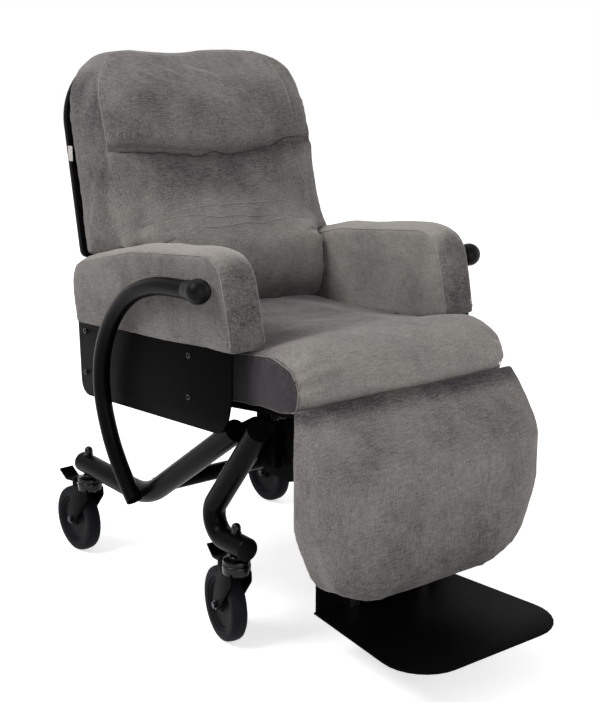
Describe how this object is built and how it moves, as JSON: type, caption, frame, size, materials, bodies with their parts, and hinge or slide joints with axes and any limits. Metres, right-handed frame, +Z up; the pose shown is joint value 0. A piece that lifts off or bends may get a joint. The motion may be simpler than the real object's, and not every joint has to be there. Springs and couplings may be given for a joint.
{
  "type": "patient recliner chair",
  "caption": "Wheeled patient recliner with tilting seat, reclining back, rising legrest and footplate on a bent black tube base.",
  "frame": {"origin": "middle of the footprint on the floor, under the chair", "axes": "the sitter faces -Y, the sitter's left side is +X, +Z up"},
  "size_m": [0.716, 1.1472, 1.121],
  "materials": {
    "black_tube": "satin black powder coat",
    "black_plate": "satin black powder coat",
    "black_shell": "fine-grained matt black moulding",
    "black_knob": "semi-matt",
    "caster_tyre": "dark grey, matt",
    "bright_steel": "turned and polished",
    "upholstery": "taupe grey chenille",
    "ply_board": "bare plywood"
  },
  "bodies": {
    "base": {"rear_leg_tube_right": "black_tube", "rear_leg_tube_left": "black_tube", "front_leg_tube_right": "black_tube", "front_leg_tube_left": "black_tube", "hand_tube_right": "black_tube", "hand_tube_left": "black_tube", "hand_knob_right": "black_knob", "hand_knob_left": "black_knob", "leg_gusset_right": "black_plate", "leg_gusset_left": "black_plate", "rear_crossbar": "black_tube", "front_crossmember": "black_plate", "tilt_pivot_shaft": "bright_steel", "caster_bolt_front_right": "black_plate", "caster_bolt_front_left": "black_plate", "caster_bolt_rear_right": "black_plate", "caster_bolt_rear_left": "black_plate"},
    "seat": {"seat_frame": "black_plate", "seat_cushion": "upholstery", "side_panel_right": "black_plate", "side_panel_left": "black_plate", "armrest_right": "upholstery", "armrest_left": "upholstery", "recline_pivot_shaft": "bright_steel", "legrest_pivot_shaft": "bright_steel"},
    "back": {"back_shell": "black_shell", "back_cushion": "upholstery", "back_hinge_plate_right": "black_plate", "back_hinge_plate_left": "black_plate"},
    "legrest": {"legrest_frame": "black_plate", "footplate_clamp_knob_right": "black_knob", "footplate_clamp_knob_left": "black_knob"},
    "legrest_carriage": {"legrest_board": "ply_board", "legrest_pad": "upholstery"},
    "footplate": {"footplate": "black_plate", "footplate_post_right": "bright_steel", "footplate_post_left": "bright_steel"},
    "tilt_strut_cylinder": {"tilt_strut_cylinder": "black_tube"},
    "tilt_strut_rod": {"tilt_strut_rod": "bright_steel"},
    "recline_strut_cylinder": {"recline_strut_cylinder": "black_tube"},
    "recline_strut_rod": {"recline_strut_rod": "bright_steel"},
    "caster_front_right": {"caster_fork_front_right": "black_plate", "caster_axle_front_right": "bright_steel"},
    "wheel_front_right": {"caster_wheel_front_right": "caster_tyre"},
    "brake_front_right": {"brake_pedal_front_right": "black_plate"},
    "caster_front_left": {"caster_fork_front_left": "black_plate", "caster_axle_front_left": "bright_steel"},
    "wheel_front_left": {"caster_wheel_front_left": "caster_tyre"},
    "brake_front_left": {"brake_pedal_front_left": "black_plate"},
    "caster_rear_right": {"caster_fork_rear_right": "black_plate", "caster_axle_rear_right": "bright_steel"},
    "wheel_rear_right": {"caster_wheel_rear_right": "caster_tyre"},
    "brake_rear_right": {"brake_pedal_rear_right": "black_plate"},
    "caster_rear_left": {"caster_fork_rear_left": "black_plate", "caster_axle_rear_left": "bright_steel"},
    "wheel_rear_left": {"caster_wheel_rear_left": "caster_tyre"},
    "brake_rear_left": {"brake_pedal_rear_left": "black_plate"}
  },
  "joints": [
    {"name": "seat_tilt", "type": "hinge", "parent": "base", "child": "seat", "pos_m": [0, -0.1836, 0.452], "axis": [-1, 0, 0], "range_deg": [0, 12]},
    {"name": "back_recline", "type": "hinge", "parent": "seat", "child": "back", "pos_m": [0, 0.3264, 0.455], "axis": [-1, 0, 0], "range_deg": [0, 30]},
    {"name": "legrest_raise", "type": "hinge", "parent": "seat", "child": "legrest", "pos_m": [0, -0.3106, 0.484], "axis": [-1, 0, 0], "range_deg": [0, 80]},
    {"name": "legrest_extend", "type": "slide", "parent": "legrest", "child": "legrest_carriage", "axis": [0, 0, -1], "range_m": [0, 0.0301]},
    {"name": "footplate_height", "type": "slide", "parent": "legrest", "child": "footplate", "axis": [0, 0, 1], "range_m": [-0.04, 0.015]},
    {"name": "tilt_strut_swing", "type": "hinge", "parent": "base", "child": "tilt_strut_cylinder", "pos_m": [0, 0.1914, 0.267], "axis": [-1, 0, 0], "range_deg": [-9.6, 0]},
    {"name": "tilt_strut_stroke", "type": "slide", "parent": "tilt_strut_cylinder", "child": "tilt_strut_rod", "axis": [0, -0.6832, 0.7302], "range_m": [-0.0254, 0]},
    {"name": "recline_strut_swing", "type": "hinge", "parent": "seat", "child": "recline_strut_cylinder", "pos_m": [0.07, 0.0614, 0.424], "axis": [-1, 0, 0], "range_deg": [0, 0.5]},
    {"name": "recline_strut_stroke", "type": "slide", "parent": "recline_strut_cylinder", "child": "recline_strut_rod", "axis": [0, 0.9945, -0.1049], "range_m": [-0.0316, 0]},
    {"name": "caster_swivel_front_right", "type": "hinge", "parent": "base", "child": "caster_front_right", "pos_m": [-0.267, -0.1406, 0], "axis": [0, 0, 1], "continuous": true},
    {"name": "wheel_spin_front_right", "type": "hinge", "parent": "caster_front_right", "child": "wheel_front_right", "pos_m": [-0.25745, -0.08644, 0.075], "axis": [0.9848, -0.1736, 0], "continuous": true},
    {"name": "brake_press_front_right", "type": "hinge", "parent": "caster_front_right", "child": "brake_front_right", "pos_m": [-0.26144, -0.10909, 0.175], "axis": [0.9848, -0.1736, 0], "range_deg": [-8, 0]},
    {"name": "caster_swivel_front_left", "type": "hinge", "parent": "base", "child": "caster_front_left", "pos_m": [0.267, -0.1406, 0], "axis": [0, 0, 1], "continuous": true},
    {"name": "wheel_spin_front_left", "type": "hinge", "parent": "caster_front_left", "child": "wheel_front_left", "pos_m": [0.26988, -0.08568, 0.075], "axis": [0.9986, -0.0523, 0], "continuous": true},
    {"name": "brake_press_front_left", "type": "hinge", "parent": "caster_front_left", "child": "brake_front_left", "pos_m": [0.26867, -0.10864, 0.175], "axis": [0.9986, -0.0523, 0], "range_deg": [-8, 0]},
    {"name": "caster_swivel_rear_right", "type": "hinge", "parent": "base", "child": "caster_rear_right", "pos_m": [-0.267, 0.4434, 0], "axis": [0, 0, 1], "continuous": true},
    {"name": "wheel_spin_rear_right", "type": "hinge", "parent": "caster_rear_right", "child": "wheel_rear_right", "pos_m": [-0.26988, 0.49833, 0.075], "axis": [0.9986, 0.0523, 0], "continuous": true},
    {"name": "brake_press_rear_right", "type": "hinge", "parent": "caster_rear_right", "child": "brake_rear_right", "pos_m": [-0.26867, 0.47536, 0.175], "axis": [0.9986, 0.0523, 0], "range_deg": [-8, 0]},
    {"name": "caster_swivel_rear_left", "type": "hinge", "parent": "base", "child": "caster_rear_left", "pos_m": [0.267, 0.4434, 0], "axis": [0, 0, 1], "continuous": true},
    {"name": "wheel_spin_rear_left", "type": "hinge", "parent": "caster_rear_left", "child": "wheel_rear_left", "pos_m": [0.26652, 0.4984, 0.075], "axis": [1, 0.0087, 0], "continuous": true},
    {"name": "brake_press_rear_left", "type": "hinge", "parent": "caster_rear_left", "child": "brake_rear_left", "pos_m": [0.26672, 0.4754, 0.175], "axis": [1, 0.0087, 0], "range_deg": [-8, 0]}
  ],
  "couplings": [
    {"joint": "legrest_extend", "follows": "legrest_raise", "m_per_rad": 0.0215},
    {"joint": "tilt_strut_swing", "follows": "seat_tilt", "ratio": -0.79318},
    {"joint": "tilt_strut_stroke", "follows": "seat_tilt", "m_per_rad": -0.12097},
    {"joint": "recline_strut_swing", "follows": "back_recline", "ratio": 0.01286},
    {"joint": "recline_strut_stroke", "follows": "back_recline", "m_per_rad": -0.060073}
  ]
}
